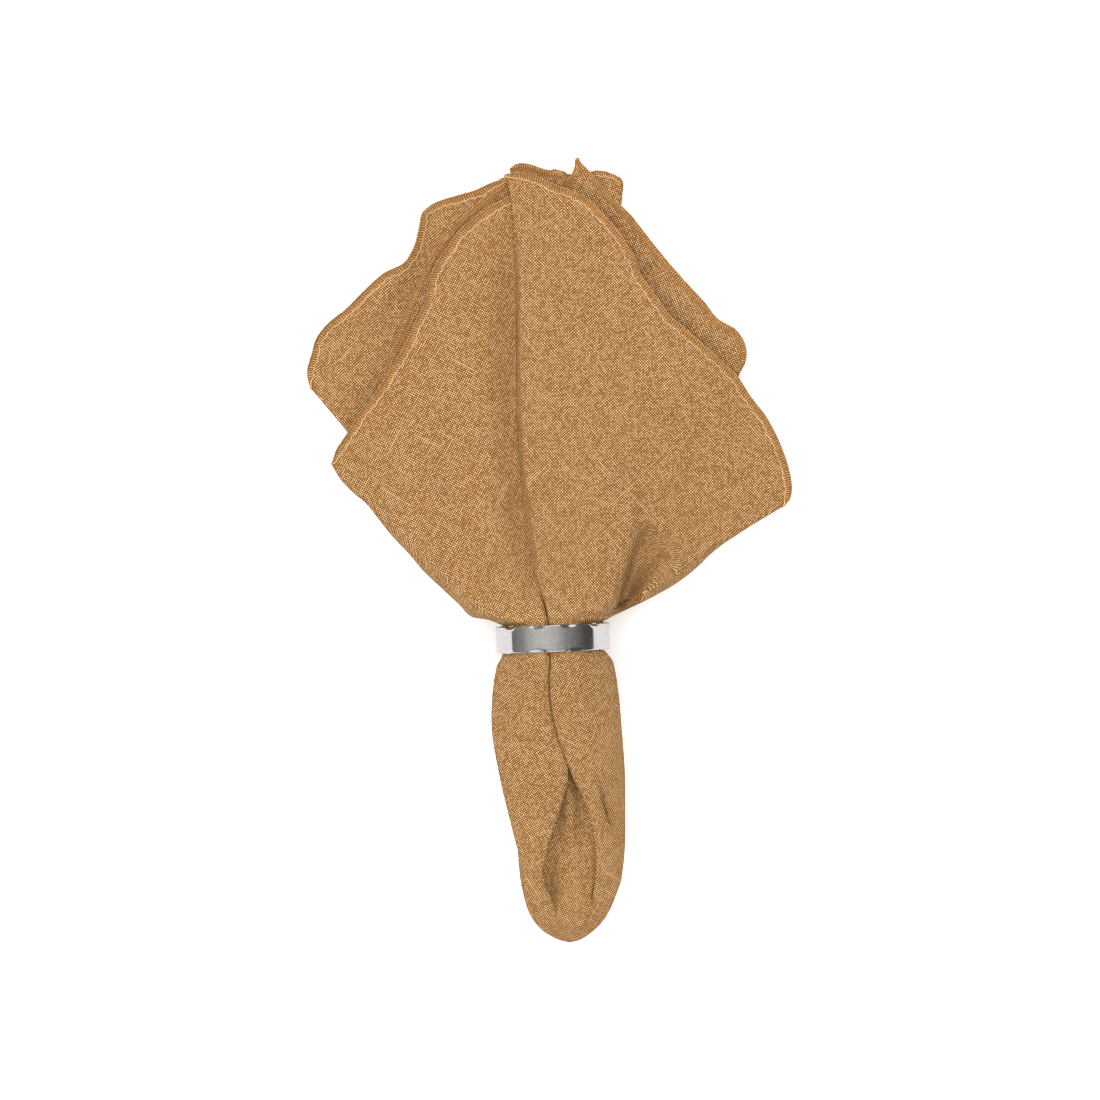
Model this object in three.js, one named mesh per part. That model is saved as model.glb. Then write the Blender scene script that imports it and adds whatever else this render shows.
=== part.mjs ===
// A square linen napkin, pinched at its centre, drawn through a polished ring and fanned out above it.
// Millimetres, +Z up. The origin is on the table under the middle of the object, +Y points to the fan.
import * as THREE from 'three';

// Driving dimensions.
const SHEET = 1.0; // thickness of the cloth
const BAND = { outer: 44.5, wall: 1.4, length: 11, rim: 0.6, turnDeg: 2, x: 1.6, y: -35.4 };
const BORE_GAP = 0.5; // cloth to ring
const RIM_CLEAR = 2; // the cloth keeps the ring's size this far past each rim
const TOP_LEVEL = 5; // the cloth lies in six levels, 0 on the table to 5 on top
const FAN_STEP = 2.2; // height from one level to the next in the open fan
const FAN_SETTLE = 28; // distance over which the bundle sinks from the ring towards the fan's height
const FAN_LEFT = 0.1; // share of that rise at which the cloth has settled and lies flat
const LEVEL_SETTLE = 60; // distance over which the layers reach their own levels
const TURN_STEPS = 2; // points on a quarter of a fold's round
const LEAST_INSET = 1; // the shortest reach of a fold's round along the hem
const ROUND_PER_LEVEL = 0.2; // how far across the ring a fold's round reaches, for each level it spans
const ROUND_MOST = 0.3; // and at most
const ROUND_ROOM = 0.85; // share of a narrow layer that the rounds of its two folds may take
const TAIL_BELLY = 0.1; // how far the tail's underside follows an ellipse, 0 flat to 1
const TAIL_SQUARE = 0.8; // below 1, the end of the tail is squarer than an ellipse

// Folds, in order round the cloth, from the seam on top to the right, under and back up on the left.
// across: place in the ring, -1 left to 1 right. x, y: end at the hem.
// bow: how far the fold line bows to its left on the way from the ring to the hem.
// round: place in degrees round the tail's end, where the pleats have run out, 90 on top, 0 right.
// pocket: true for the folds of the pocket on top of the tail, which reach nearer its end.
const FOLDS = {
  seam: { across: -0.08, x: -18, y: 150.5, bow: 4.5, round: 55, pocket: true },
  rightEdge: { across: 1, x: 94.5, y: 19, bow: -1.5, round: 10 },
  backRightPleat: { across: 0.12, x: -15.5, y: 153, bow: 3, round: -8 },
  underRight: { across: 1, x: 60, y: 88, bow: -2, round: -30 },
  backLeftEdge: { across: -1, x: -96, y: 65.5, bow: 0, round: -150 },
  backLeftPleat: { across: -0.12, x: -19.5, y: 147, bow: 3, round: -162 },
  innerLeft: { across: -1, x: -66, y: 50, bow: 2, round: -176 },
  innerMiddle: { across: -0.45, x: -44, y: 104, bow: 3, round: -190 },
  leftEdge: { across: -1, x: -87, y: 35, bow: 4.8, round: -206 },
  dip: { across: -0.14, x: -14, y: 142, bow: 6.5, round: -248, pocket: true },
  innerRight: { across: 0.72, x: 56, y: 74, bow: -1, round: -292, pocket: true },
};

// Layers, in the same order. ring: level inside the ring. start, end: levels at the two folds in the
// fan. hem: points of the hem between them, each x, y and level.
const LAYERS = [
  { from: 'seam', to: 'rightEdge', ring: 5, start: 5, end: 1,
    hem: [[-5, 151, 5], [12, 142, 5], [30, 123, 5], [48.5, 94, 5], [67, 78, 4.4], [84, 58.5, 2.4],
      [94.5, 36.5, 1.2], [97, 25, 1]] },
  { from: 'rightEdge', to: 'backRightPleat', ring: 2, start: 0, end: 2,
    hem: [[88, 46, 0], [77, 68, 0.6], [80, 78, 1.4], [70, 93, 2], [46, 116, 2], [28, 140, 2],
      [11.5, 157, 2], [7, 149, 2], [0, 153, 2]] },
  { from: 'backRightPleat', to: 'underRight', ring: 1, start: 1, end: 1,
    hem: [[12, 149, 1], [22, 152, 1], [29, 145, 1], [44, 110, 1]] },
  { from: 'underRight', to: 'backLeftEdge', ring: 0, start: 0, end: 0,
    hem: [[38, 108, 0], [14, 140, 0], [-20, 141, 0], [-50, 124, 0], [-80, 88, 0]] },
  { from: 'backLeftEdge', to: 'backLeftPleat', ring: 0.9, start: 1, end: 1,
    hem: [[-97, 74, 1], [-90, 88, 1], [-73.5, 105, 1], [-58, 116, 1.1], [-52, 131, 1.4], [-44, 140, 1.3],
      [-30, 144, 1]] },
  { from: 'backLeftPleat', to: 'innerLeft', ring: 1.7, start: 2, end: 2,
    hem: [[-40, 118, 2.1], [-56, 84, 2]] },
  { from: 'innerLeft', to: 'innerMiddle', ring: 2.5, start: 3, end: 3,
    hem: [[-60, 68, 3], [-50, 92, 3]] },
  { from: 'innerMiddle', to: 'leftEdge', ring: 3.3, start: 4, end: 0,
    hem: [[-52, 86, 4], [-66, 60, 4], [-78, 44, 1.6]] },
  { from: 'leftEdge', to: 'dip', ring: 5, start: 1, end: 3.2,
    hem: [[-81, 47, 2.8], [-71, 61.5, 4.8], [-58.5, 81, 5], [-49, 102, 5], [-43, 119, 4.8],
      [-33, 131, 4.2], [-23, 138.5, 3.5]] },
  { from: 'dip', to: 'innerRight', ring: 3, start: 3, end: 3,
    hem: [[4, 132, 3], [28, 104, 3]] },
  { from: 'innerRight', to: 'seam', ring: 4, start: 4, end: 4,
    hem: [[32, 104, 4], [0, 141, 4]] },
];

// Sections of the tail, from its end to the ring. y, x: place. half: half width. high: height.
// seam, dip, innerRight: where these folds lie across the section, -1 left to 1 right.
// pocket, pleats: depth of the pocket on top and of the other pleats, 0 run out to 1 full.
const TAIL_COLUMNS = ['y', 'x', 'half', 'high', 'seam', 'dip', 'innerRight', 'pocket', 'pleats'];
const TAIL = [
  [-155, 6.7, 6, 6, 0.3, 0.1, 0.3, 0, 0],
  [-150, 7, 12, 10.5, 0.45, 0, 0.45, 0, 0],
  [-142, 7.7, 16.5, 14, 0.5, -0.3, 0.44, 0.3, 0],
  [-136, 8.4, 18.8, 16, 0.49, -0.48, 0.5, 0.75, 0],
  [-130, 8.7, 20.3, 18, 0.47, -0.58, 0.58, 1, 0],
  [-118, 8.3, 21.4, 21, 0.46, -0.42, 0.74, 1, 0.42],
  [-104, 6.8, 23, 24.5, 0.33, -0.16, 0.72, 1, 0.75],
  [-88, 5, 25, 28.5, 0.08, 0, 0.72, 1, 0.95],
  [-70, 3, 25.5, 33, -0.03, -0.1, 0.72, 1, 1],
  [-55, 2.4, 24.5, 37, -0.08, -0.14, 0.72, 1, 1],
  [-47, 2, 22.8, 39.5, -0.08, -0.14, 0.72, 1, 1],
].map((row) => Object.fromEntries(row.map((value, i) => [TAIL_COLUMNS[i], value])));
const TIP = { x: 6.6, y: -157, z: 2.8 };

// Shares of the way from the ring to the hem at which the fan has a row of points.
const FAN_ROWS = [0.05, 0.12, 0.21, 0.32, 0.45, 0.6, 0.78, 1];

// Soft ridges and troughs, fullest in the top layer. From x1, y1 to x2, y2, with half width and height.
const CREASES = [
  { x1: 13, y1: -22, x2: 16, y2: 30, half: 11, high: 4.5 },
  { x1: 27, y1: -22, x2: 42, y2: 8, half: 5, high: -5 },
  { x1: -78, y1: 88, x2: -57, y2: 122, half: 5, high: 3 },
];

const RING_RADIUS = BAND.outer / 2 - BAND.wall - BORE_GAP - SHEET / 2;
const RING_SECTION = {
  x: BAND.x, half: RING_RADIUS, high: 2 * RING_RADIUS, middle: BAND.outer / 2,
  pocket: 1, pleats: 1, belly: 1,
};
const BAND_REACH = BAND.length / 2 + RIM_CLEAR;
const EXIT_Y = BAND.y + BAND_REACH;

const mix = (a, b, t) => a + (b - a) * t;

function smooth(t) {
  const c = Math.min(Math.max(t, 0), 1);
  return c * c * (3 - 2 * c);
}

// The point of a line of points at a distance along it.
function pointAlong(points, distance) {
  let left = distance;
  for (let i = 1; i < points.length; i += 1) {
    const [ax, ay] = points[i - 1];
    const [bx, by] = points[i];
    const length = Math.hypot(bx - ax, by - ay);
    if (left <= length || i === points.length - 1) {
      return [mix(ax, bx, left / length), mix(ay, by, left / length)];
    }
    left -= length;
  }
  return points[0];
}

// How far across the ring the round of a fold reaches, from the two levels that it joins.
const ringRound = (a, b) => Math.min(ROUND_PER_LEVEL * Math.abs(a - b), ROUND_MOST);

// The points of one layer, round its first fold, along its hem and into its last fold. A fold's round
// is a quarter of an ellipse on either side of it: turn goes from 0 on the fold to 1 where the layer
// is flat, and rise from 0 at the fold's middle height to 1 at the layer's own.
function layerPoints(index) {
  const count = LAYERS.length;
  const layer = LAYERS[index];
  const before = LAYERS[(index + count - 1) % count];
  const after = LAYERS[(index + 1) % count];
  const from = FOLDS[layer.from];
  const to = FOLDS[layer.to];
  const line = [[from.x, from.y], ...layer.hem, [to.x, to.y]];
  const total = line.slice(1).reduce((sum, [x, y], i) => (
    sum + Math.hypot(x - line[i][0], y - line[i][1])
  ), 0);
  const rounds = [ringRound(layer.ring, before.ring), ringRound(layer.ring, after.ring)];
  const points = [];

  function addRound(step, atStart) {
    const angle = (Math.PI / 2) * (step / TURN_STEPS);
    const own = atStart ? layer.start : layer.end;
    const other = atStart ? before.end : after.start;
    const turn = 1 - Math.cos(angle);
    const rise = Math.sin(angle);
    const inset = Math.max((Math.abs(own - other) * FAN_STEP) / 2, LEAST_INSET) * turn;
    const [x, y] = pointAlong(line, atStart ? inset : total - inset);
    const ringMiddle = (layer.ring + (atStart ? before : after).ring) / 2;
    points.push({
      layer, rounds, x, y, turn, share: atStart ? 0 : 1,
      ring: mix(ringMiddle, layer.ring, rise),
      level: mix((own + other) / 2, own, rise),
    });
  }

  for (let step = 0; step <= TURN_STEPS; step += 1) addRound(step, true);
  layer.hem.forEach(([x, y, level], i) => {
    const share = (i + 1) / (layer.hem.length + 1);
    points.push({ layer, rounds, x, y, turn: 1, share, ring: layer.ring, level });
  });
  for (let step = TURN_STEPS; step > 0; step -= 1) addRound(step, false);
  points.forEach((point, i) => {
    point.way = i / points.length;
  });
  return points;
}

// Place across a section, -1 to 1, of a fold and of a point between two folds.
function foldAcross(name, section) {
  return name in section ? section[name] : FOLDS[name].across;
}

function pointAcross(point, section) {
  const a = foldAcross(point.layer.from, section);
  const b = foldAcross(point.layer.to, section);
  const way = Math.sign(b - a);
  const [roundA, roundB] = point.rounds;
  const fit = Math.min(1, (ROUND_ROOM * Math.abs(b - a)) / (roundA + roundB)) * way;
  if (point.share === 0) return a + fit * roundA * point.turn;
  if (point.share === 1) return b - fit * roundB * point.turn;
  return mix(a + fit * roundA, b - fit * roundB, point.share);
}

// A point of a section. Where the pleats are full, the levels are bent into an ellipse, flatter below
// where it lies. Where they have run out, the cloth goes round the ellipse once.
function sectionPoint(point, section, y) {
  const from = FOLDS[point.layer.from];
  const to = FOLDS[point.layer.to];
  const across = pointAcross(point, section);
  const up = (2 * point.ring) / TOP_LEVEL - 1;
  const belly = up < 0 ? section.belly : 1;
  const droop = 1 - belly * (1 - Math.sqrt(1 - across ** 2 / 2));
  const pleated = [across * Math.sqrt(1 - up ** 2 / 2), up * droop];
  const last = to.round > from.round ? to.round - 360 : to.round;
  const angle = THREE.MathUtils.degToRad(mix(from.round, last, point.way));
  const plain = [Math.cos(angle), Math.sign(Math.sin(angle)) * Math.abs(Math.sin(angle)) ** TAIL_SQUARE];
  const depth = mix(
    from.pocket ? section.pocket : section.pleats,
    to.pocket ? section.pocket : section.pleats,
    point.way,
  );
  return new THREE.Vector3(
    section.x + section.half * mix(plain[0], pleated[0], depth),
    y,
    section.middle + (section.high / 2) * mix(plain[1], pleated[1], depth),
  );
}

function creaseHeight(x, y) {
  return CREASES.reduce((sum, c) => {
    const dx = c.x2 - c.x1;
    const dy = c.y2 - c.y1;
    const along = Math.min(Math.max(((x - c.x1) * dx + (y - c.y1) * dy) / (dx * dx + dy * dy), 0), 1);
    const away = Math.hypot(x - c.x1 - along * dx, y - c.y1 - along * dy);
    return sum + c.high * Math.exp(-((away / c.half) ** 2));
  }, 0);
}

// A point of the fan at a share of the way from the ring's mouth to the hem.
function fanPoint(point, share) {
  const mouth = sectionPoint(point, RING_SECTION, EXIT_Y);
  const dx = point.x - mouth.x;
  const dy = point.y - mouth.y;
  const length = Math.hypot(dx, dy);
  const bow = mix(FOLDS[point.layer.from].bow, FOLDS[point.layer.to].bow, point.share);
  const aside = (bow * 4 * share * (1 - share)) / length;
  const x = mouth.x + dx * share - dy * aside;
  const y = mouth.y + dy * share + dx * aside;
  const beyond = Math.max(Math.abs(x - BAND.x) - RING_RADIUS, 0);
  const distance = Math.hypot(beyond, y - EXIT_Y);
  const level = mix(point.ring, point.level, smooth(distance / LEVEL_SETTLE));
  const held = Math.max(Math.exp(-distance / FAN_SETTLE) - FAN_LEFT, 0) / (1 - FAN_LEFT);
  const flat = SHEET / 2 + level * FAN_STEP + (creaseHeight(x, y) * level) / TOP_LEVEL;
  return new THREE.Vector3(x, y, mix(flat, mouth.z, held));
}

// Rows of points from the tail's end to the hem, each row once round the cloth.
function clothRows() {
  const points = LAYERS.flatMap((layer, index) => layerPoints(index));
  const tail = TAIL.map((section) => {
    const lifted = { high: section.high - SHEET, middle: section.high / 2, belly: TAIL_BELLY };
    const full = { ...section, ...lifted };
    return points.map((point) => sectionPoint(point, full, section.y));
  });
  const ring = [BAND.y - BAND_REACH, BAND.y, EXIT_Y].map((y) => (
    points.map((point) => sectionPoint(point, RING_SECTION, y))
  ));
  const fan = FAN_ROWS.map((share) => points.map((point) => fanPoint(point, share)));
  return [...tail, ...ring, ...fan];
}

// The cloth as one closed solid: an outer and an inner skin, half the sheet off the rows on either
// side, joined along the hem and each closed at the tail's end.
function clothGeometry() {
  const rows = clothRows();
  const count = rows[0].length;
  const last = rows.length - 1;
  const positions = [];
  const index = [];

  function skin(side) {
    const offset = (side * SHEET) / 2;
    rows.forEach((row, j) => {
      row.forEach((point, i) => {
        const around = row[(i + 1) % count].clone().sub(row[(i + count - 1) % count]);
        const along = rows[Math.min(j + 1, last)][i].clone().sub(rows[Math.max(j - 1, 0)][i]);
        const normal = around.cross(along).normalize();
        positions.push(...point.clone().addScaledVector(normal, offset).toArray());
      });
    });
    positions.push(TIP.x, TIP.y - offset, TIP.z);
  }

  skin(1);
  skin(-1);
  const perSkin = rows.length * count + 1;
  const at = (side, j, i) => side * perSkin + j * count + (i % count);
  for (let i = 0; i < count; i += 1) {
    for (let j = 0; j < last; j += 1) {
      index.push(at(0, j, i), at(0, j, i + 1), at(0, j + 1, i + 1));
      index.push(at(0, j, i), at(0, j + 1, i + 1), at(0, j + 1, i));
      index.push(at(1, j, i), at(1, j + 1, i + 1), at(1, j, i + 1));
      index.push(at(1, j, i), at(1, j + 1, i), at(1, j + 1, i + 1));
    }
    index.push(at(0, last, i), at(0, last, i + 1), at(1, last, i + 1));
    index.push(at(0, last, i), at(1, last, i + 1), at(1, last, i));
    index.push(perSkin - 1, at(0, 0, i + 1), at(0, 0, i));
    index.push(2 * perSkin - 1, at(1, 0, i), at(1, 0, i + 1));
  }
  const geometry = new THREE.BufferGeometry();
  geometry.setAttribute('position', new THREE.Float32BufferAttribute(positions, 3));
  geometry.setIndex(index);
  geometry.computeVertexNormals();
  return geometry;
}

// The ring as a turned band with rounded rims. Its profile closes on itself.
function bandGeometry() {
  const outer = BAND.outer / 2;
  const inner = outer - BAND.wall;
  const half = BAND.length / 2;
  const corner = (x, y, from) => [0, 1, 2].map((step) => {
    const angle = from + (step * Math.PI) / 4;
    return new THREE.Vector2(x + BAND.rim * Math.cos(angle), y + BAND.rim * Math.sin(angle));
  });
  const profile = [
    ...corner(outer - BAND.rim, -half + BAND.rim, -Math.PI / 2),
    ...corner(outer - BAND.rim, half - BAND.rim, 0),
    ...corner(inner + BAND.rim, half - BAND.rim, Math.PI / 2),
    ...corner(inner + BAND.rim, -half + BAND.rim, Math.PI),
  ];
  profile.push(profile[0].clone());
  return new THREE.LatheGeometry(profile, 64);
}

function makeNapkin() {
  const linen = new THREE.MeshStandardMaterial({ color: 0xb68c5d, roughness: 0.9, metalness: 0 });
  const napkin = new THREE.Mesh(clothGeometry(), linen);
  napkin.name = 'napkin';
  return napkin;
}

function makeRing() {
  const steel = new THREE.MeshStandardMaterial({ color: 0xc9c7c4, roughness: 0.12, metalness: 1 });
  const ring = new THREE.Mesh(bandGeometry(), steel);
  ring.name = 'ring';
  ring.position.set(BAND.x, BAND.y, BAND.outer / 2);
  ring.rotation.z = THREE.MathUtils.degToRad(BAND.turnDeg);
  return ring;
}

const object = new THREE.Group();
object.add(makeNapkin(), makeRing());

export default object;
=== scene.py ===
"""A square linen napkin, pinched at its centre, drawn through a polished ring and fanned out above it."""

import math

import bpy
import numpy as np
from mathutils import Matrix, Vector


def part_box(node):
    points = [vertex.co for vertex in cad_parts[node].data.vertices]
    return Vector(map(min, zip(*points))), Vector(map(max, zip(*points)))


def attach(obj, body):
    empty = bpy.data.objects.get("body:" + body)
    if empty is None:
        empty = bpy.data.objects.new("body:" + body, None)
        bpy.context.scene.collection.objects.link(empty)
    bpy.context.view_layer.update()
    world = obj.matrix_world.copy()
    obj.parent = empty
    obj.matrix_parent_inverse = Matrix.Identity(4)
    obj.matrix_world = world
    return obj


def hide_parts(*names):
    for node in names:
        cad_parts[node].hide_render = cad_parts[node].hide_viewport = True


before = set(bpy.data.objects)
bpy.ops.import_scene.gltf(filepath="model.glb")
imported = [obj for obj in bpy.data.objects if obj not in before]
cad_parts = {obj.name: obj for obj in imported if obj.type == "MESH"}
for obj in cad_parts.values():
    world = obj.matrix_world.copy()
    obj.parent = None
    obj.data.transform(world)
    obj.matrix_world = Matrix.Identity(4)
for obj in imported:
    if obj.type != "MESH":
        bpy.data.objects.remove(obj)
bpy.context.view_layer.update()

MM = 0.001
RING_LOW, RING_HIGH = (np.array(corner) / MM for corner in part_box("ring"))

# The camera, in millimetres, straight above the floor, and the width of floor that it sees.
CAMERA_HIGH = 3000.0
CAMERA_X = 0.2
VIEW_WIDTH = 440.0
SENSOR = 36.0

# The ring, in millimetres. Its place and outside radius come from the frame.
RING_X = (RING_LOW[0] + RING_HIGH[0]) / 2 - 0.3
RING_Y = (RING_LOW[1] + RING_HIGH[1]) / 2 + 0.5
RING_RADIUS = (RING_HIGH[2] - RING_LOW[2]) / 2 + 0.35
RING_WALL = 1.5
RING_LENGTH = 10.75
RING_TURN = math.radians(2.3)
RING_TURNS = 288
RIM_DEEP = 0.6
RIM_WIDE = 0.7
# Shallow dents along both rims, left when the band was trimmed: how much wider and deeper they are than the
# rim's round, how many go round each rim, and the angle of the first from the top, in degrees.
DENT_WIDE = 0.8
DENT_DEEP = 0.37
DENTS = {"fan side": (11, -16), "tail side": (9, -15.5)}
DENT_POWER = 0.8

# The cloth, in millimetres: its thickness, its gap to the bore, the top layer's level, the height of a
# level in the fan, the gap past the rim, and the distances over which height and level settle.
SHEET = 0.6
BORE_GAP = 0.25
TOP_LEVEL = 5
FAN_STEP = 2.2
RIM_CLEAR = 0.7
SETTLE = 17.0
LEVEL_SETTLE = 60.0
# Rounds of the folds: steps, least size at the hem, size in the ring for each level joined and at most, and
# the share of a layer's width that they may take.
ROUND_STEPS = 3
LEAST_INSET = 1.0
ROUND_PER_LEVEL = 0.2
ROUND_MOST = 0.3
ROUND_ROOM = 0.85
SINK_SHARE = 0.22
TAIL_BELLY = 0.1
TAIL_SQUARE = 0.8
# Waves of the layers inside the ring and tail, from side to side: how many, their start and height.
GATHERS = 2.5
GATHER_START = 0.1
GATHER_HIGH = 3.8
# Height of the hidden pleats' rumples.
RUMPLE = 1.3
# Waves of the loose cloth: height, length along x and along y, and start.
UNEVEN = [(0.35, 9, 14, 0), (0.3, 6.1, -8.3, 2), (0.25, 17, 4.3, 0)]
# Rows are turned with the ring this far from its middle, and then less over the next distance.
TURNED_WHOLE = 7
TURNED_FADE = 14
# Where the tail's underside starts to round up towards the ring, and over what distance.
BELLY_FROM = -60
BELLY_OVER = 16
RING_ROWS = 5
# Rows of the fan lie closer near the ring by this power of the share of the way.
SPREAD_POWER = 1.15

# Folds, in order round the cloth, from the seam on top to the right, under and back up on the left.
# across: place in the ring, -1 left to 1 right. x, y: end at the hem. bow: rows of share of the way
# from the ring to the hem, and how far the fold line lies to the left of a straight one there.
# round: place in degrees round the tail's end, where the pleats have run out. pocket: in the pocket.
# level: the fold's own inside the ring and in the tail, where it isn't halfway between its layers'.
FOLDS = {
    "seam": dict(
        across=-0.09, x=-18, y=150.5, round=55, pocket=True, level=4.75,
        bow=[(0, 0), (0.04, 0.5), (0.075, 2.2), (0.115, 3.5), (0.165, 4.9), (0.21, 5.4), (0.35, 5.2),
             (0.48, 4.4), (0.54, 3.3), (0.71, 0.4), (0.8, -0.6), (0.87, -1.4), (0.93, -1.8), (0.97, -1.5),
             (1, 0)]),
    "right_edge": dict(
        across=1, x=94.4, y=18.4, round=10, pocket=False,
        bow=[(0, 0), (0.175, -1.8), (0.27, -2.6), (0.37, -3), (0.48, -2.3), (0.6, -0.3), (0.75, 0.3),
             (0.9, 0.2), (1, 0)]),
    "back_right_pleat": dict(across=0.12, x=-15.5, y=153, round=-8, pocket=False, bow=[(0, 0), (0.5, 3), (1,
    0)]),
    "under_right": dict(across=1, x=66, y=80, round=-30, pocket=False, bow=[(0, 0), (0.5, -2), (1, 0)]),
    "back_left_edge": dict(across=-1, x=-95.8, y=65.5, round=-150, pocket=False, bow=[(0, 0), (0.5, 0), (1,
    0)]),
    "back_left_pleat": dict(across=-0.12, x=-16, y=149.4, round=-162, pocket=False,
                            bow=[(0, 0), (0.5, 3), (1, 0)]),
    "inner_left": dict(across=-0.74, x=-72, y=50, round=-176, pocket=False, bow=[(0, 0), (0.5, 2), (1, 0)]),
    "inner_middle": dict(across=-0.1, x=-30, y=126, round=-190, pocket=False, bow=[(0, 0), (0.5, 4), (1,
    0)]),
    "left_edge": dict(
        across=-1, x=-87.2, y=35, round=-206, pocket=False,
        bow=[(0, 0), (0.07, 2.9), (0.115, 5.8), (0.19, 5.9), (0.3, 6), (0.4, 6), (0.5, 5), (0.6, 4.5),
             (0.7, 3.1), (0.77, 2.2), (0.86, 2.6), (0.93, 2), (1, 0)]),
    "dip": dict(
        across=-0.12, x=-14, y=143, round=-248, pocket=True, level=4.75,
        bow=[(0, 0), (0.075, 2), (0.115, 3.2), (0.21, 5.4), (0.35, 5.6), (0.48, 5.2), (0.54, 4.6),
             (0.71, 2.2), (0.87, 0), (1, 0)]),
    "inner_right": dict(across=0.85, x=74, y=62, round=-292, pocket=True, bow=[(0, 0), (0.5, -1), (1, 0)]),
}
FOLD_NAMES = list(FOLDS)

# Layers, in the same order, each from the fold of its row to the next. ring: level inside the ring.
# sinks_to: level there at its last fold, round the pleats that end short of it. bulge: how far its
# middle rises there. curl: how far it starts behind its first fold, below 0, across the ring.
# start, end: levels at the two folds in the fan. cells: how finely it is divided. weave: direction of
# the warp in degrees, in the fan and in the tail. hem: points of the hem between the folds, each x, y
# and level.
LAYERS = [
    dict(name="right_panel", ring=5, start=5, end=1, cells=78, weave=(-48, -29), hem=[
        (-14, 151.2, 5), (-7.4, 150.6, 5), (2.2, 146.4, 5), (8.8, 144.2, 5), (15.4, 140.8, 5), (21.8, 134.4,
        5),
        (28.2, 127.2, 5), (33.4, 118.4, 5), (37.2, 109.5, 5), (43, 101.6, 5), (48.6, 94, 5), (53.5, 89.8,
        4.9),
        (61, 83.2, 4.6), (70.8, 74.4, 3.9), (75.8, 69.2, 3.3), (79.8, 62.8, 2.7), (87, 53.4, 2),
        (92.6, 42.4, 1.5), (96.2, 31.6, 1.1), (97.2, 24.4, 1), (96.2, 20, 1)]),
    dict(name="back_right", ring=2, start=0, end=2, cells=60, weave=(25, 20), hem=[
        (90, 32, 0), (82, 50, 0), (76, 64, 0.5), (75.8, 70.2, 1.1), (79, 76.8, 1.6), (78.8, 81.6, 1.8),
        (75, 88.2, 2), (67, 93, 2), (62.4, 99.2, 2), (56.2, 105.8, 2), (46.2, 117.2, 2), (37.6, 128, 2),
        (33, 134, 2), (28.4, 138.5, 2), (15.6, 152.4, 2), (13.6, 154.4, 2), (12.3, 155.8, 2.1), (11.6,
        157.3, 2.1),
        (10.8, 157.2, 2.1), (10.4, 154.6, 2), (9.6, 152.4, 2), (6.8, 148.8, 1.8), (5, 151.4, 2), (3, 151.6,
        2),
        (-2.6, 152.8, 2.1), (-9.9, 155, 2.2), (-13.6, 154.6, 2.3)]),
    dict(name="flap", ring=1, start=1, end=1, cells=20, weave=(70, 20), hem=[
        (14, 151, 1), (19.4, 152.2, 1.2), (25, 150.9, 1.4), (29.4, 148, 1.3), (28.4, 143.8, 1), (28.4, 138,
        1),
        (46, 108, 1)]),
    dict(name="bottom", ring=0, start=0, end=0, cells=22, weave=(10, 15), hem=[
        (42, 108, 0), (26, 137, 0), (11, 147.6, 0), (5.4, 152, 0), (-8, 150.6, 0), (-19.4, 149, 0), (-27,
        144, 0), (-46, 132, 0), (-60, 108, 0),
        (-84, 86, 0)]),
    dict(name="back_left", ring=0.9, start=1, end=1.8, cells=52, weave=(40, 40), hem=[
        (-97, 68.4, 1), (-97.2, 72, 1), (-95.4, 78.6, 1), (-93.8, 84.4, 1), (-88.7, 91, 1), (-81.4, 96.8,
        1),
        (-73.4, 104.8, 1), (-66.2, 111, 1), (-58.4, 115, 1.1), (-54.4, 121.6, 1.3), (-52.2, 130.2, 1.6),
        (-51.2, 134.8, 1.7), (-47.6, 138.2, 1.6), (-38.6, 141.6, 1.5), (-28.8, 144.6, 1.7), (-23.8, 147,
        1.8)]),
    dict(name="pleat_a", ring=1.7, start=2, end=2, cells=20, weave=(20, 20), hem=[(-42, 126, 2.1), (-60, 90,
        2)]),
    dict(name="pleat_b", ring=2.5, start=3, end=2.6, cells=20, weave=(50, 20), hem=[
        (-64, 74, 3), (-52, 98, 3), (-40, 118, 2.8)]),
    dict(name="pleat_c", ring=3.3, sinks_to=2, start=3.3, end=0, cells=20, weave=(0, 20), hem=[
        (-38, 116, 3.6), (-49, 93, 4), (-66, 62, 4), (-80, 44, 1.4)]),
    dict(name="left_panel", ring=5, start=1, end=4.1, cells=54, weave=(-28, 33), hem=[
        (-85.4, 40.4, 1.6), (-81.4, 46.4, 2.4), (-75.4, 56, 3.8), (-70.8, 61.8, 4.5), (-63, 74, 5),
        (-58.6, 81.2, 5), (-53.8, 91.6, 5), (-49.4, 101.4, 5), (-48, 107.6, 5), (-45.8, 114.4, 5),
        (-41.4, 120.6, 5), (-37, 127.2, 4.9), (-29.6, 133.6, 4.7), (-23, 138.2, 4.4), (-17.6, 141, 4.2)]),
    dict(name="pleat_d", ring=3, bulge=0.45, curl=-0.06, start=3.6, end=1.9, cells=22, weave=(30, 30), hem=[
        (4, 138, 3.3), (28, 120, 3), (52, 86, 2.8), (64, 74, 2.4)]),
    dict(name="pleat_e", ring=4, start=2.5, end=4.5, cells=24, weave=(60, 30), hem=[
        (64, 74, 3), (54, 86, 3.6), (30, 118, 4), (4, 140, 4.3)]),
]

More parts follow.
